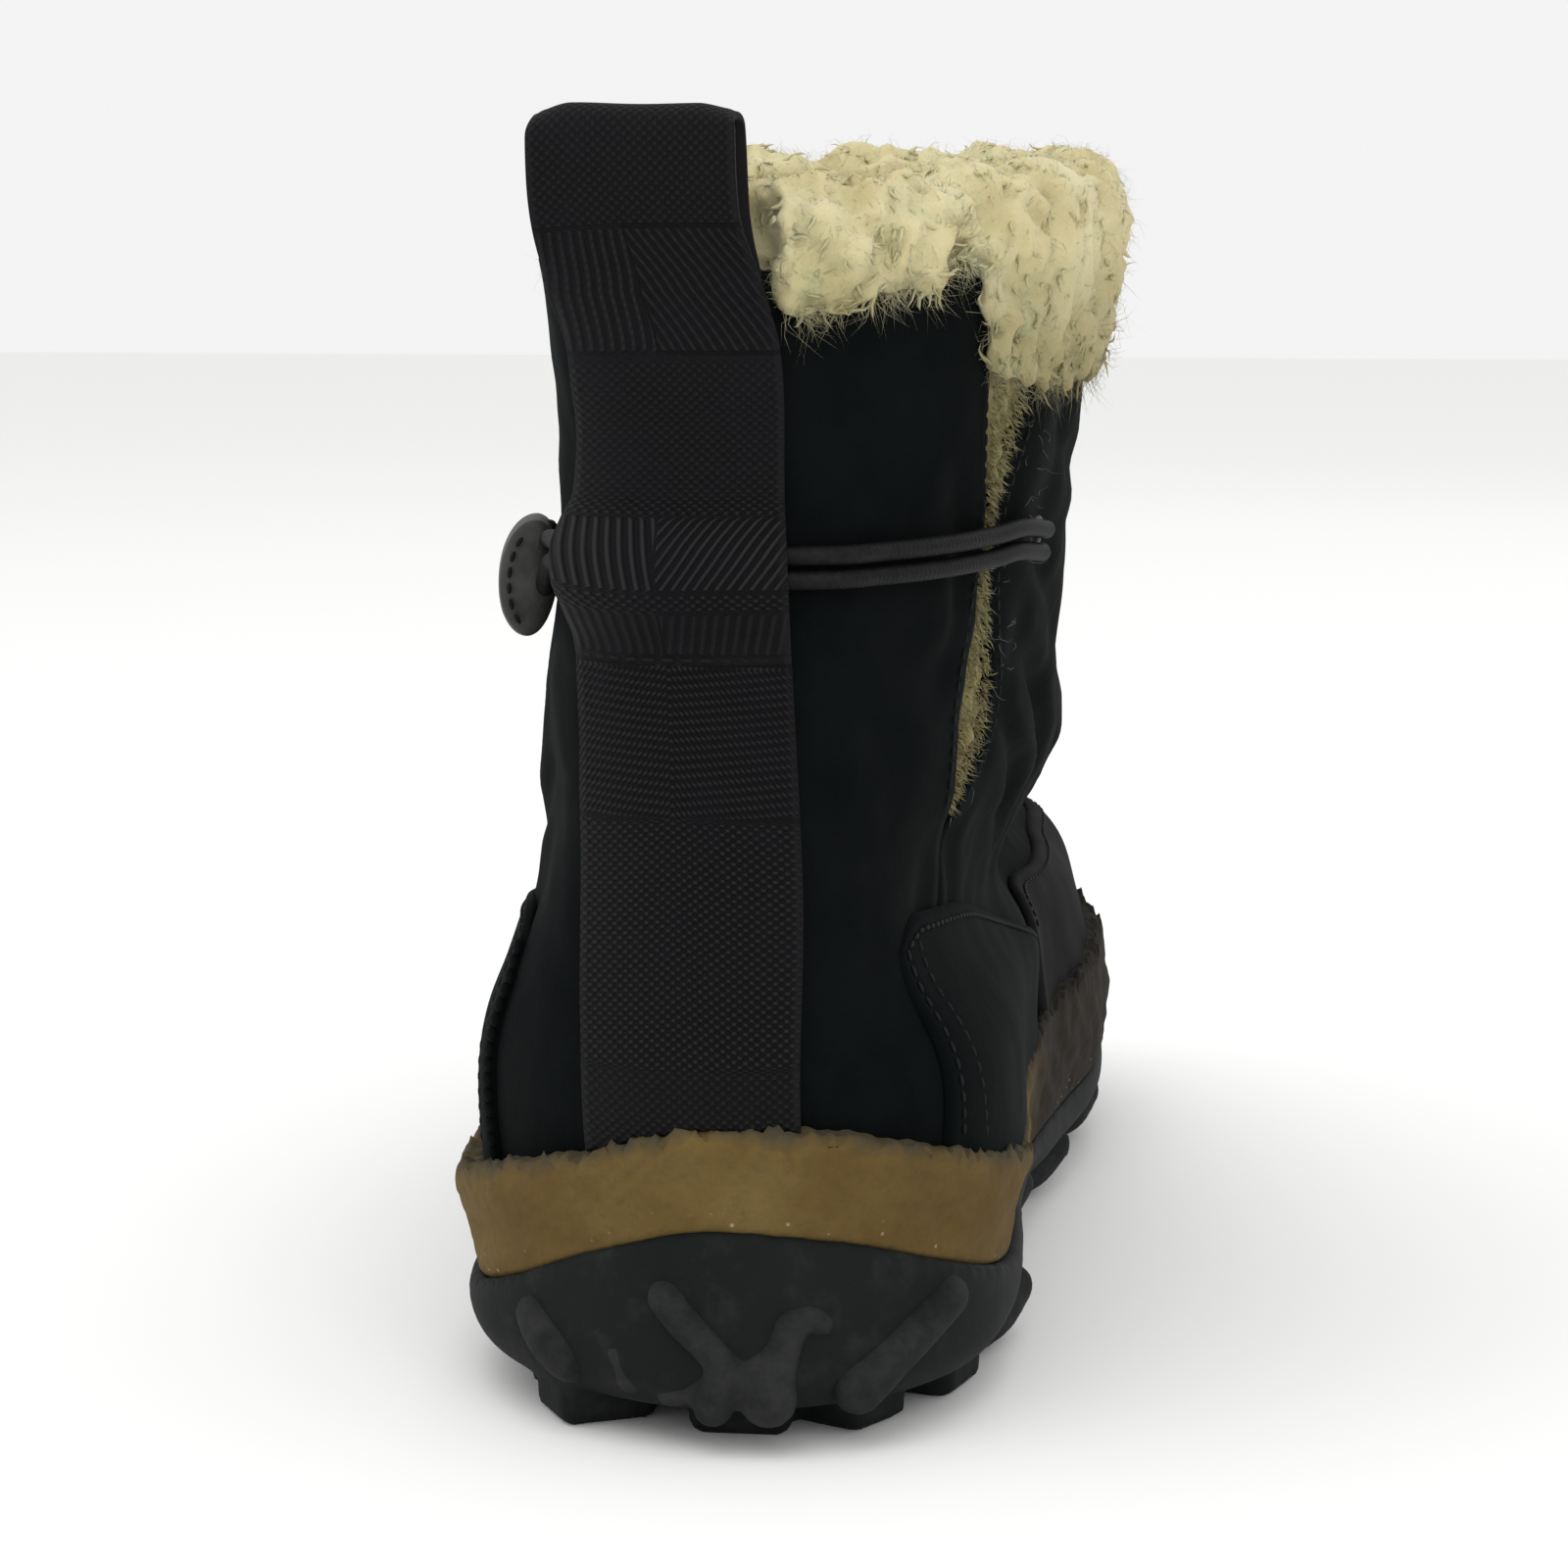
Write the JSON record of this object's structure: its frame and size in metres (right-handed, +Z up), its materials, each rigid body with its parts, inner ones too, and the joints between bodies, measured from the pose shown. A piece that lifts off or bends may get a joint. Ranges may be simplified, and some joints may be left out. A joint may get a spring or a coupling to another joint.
{
  "type": "ankle boot",
  "caption": "Left winter ankle boot: suede upper with fleece collar, webbing heel strap with pull loop, elastic ankle cord and toggle, foam midsole and lugged rubber outsole.",
  "frame": {"origin": "on the ground, under the middle of the heel, on the lowest face of the middle heel lug", "axes": "+Z up, +Y from heel to toe, +X to the inner side of the left foot"},
  "size_m": [0.0998, 0.2719, 0.178],
  "materials": {
    "suede": "black nubuck with a short nap, lightly dusty",
    "toe_leather": "dark smooth leather with a soft shine",
    "outsole_rubber": "matt dark grey rubber, dusty",
    "midsole_foam": "tan moulded foam, worn and speckled",
    "fleece": "cream matted wool pile",
    "webbing": "black woven webbing",
    "elastic": "black braided elastic",
    "toggle_leather": "dark grey folded leather, stitched"
  },
  "bodies": {
    "root": {"upper": "suede", "outsole": "outsole_rubber", "midsole": "midsole_foam", "insole": "fleece", "outer_foxing": "suede", "inner_foxing": "suede", "toe_overlay": "toe_leather", "heel_strap": "webbing", "ankle_cord": "elastic", "toggle": "toggle_leather", "fleece_gusset": "fleece", "fleece_collar": "fleece"}
  },
  "joints": []
}
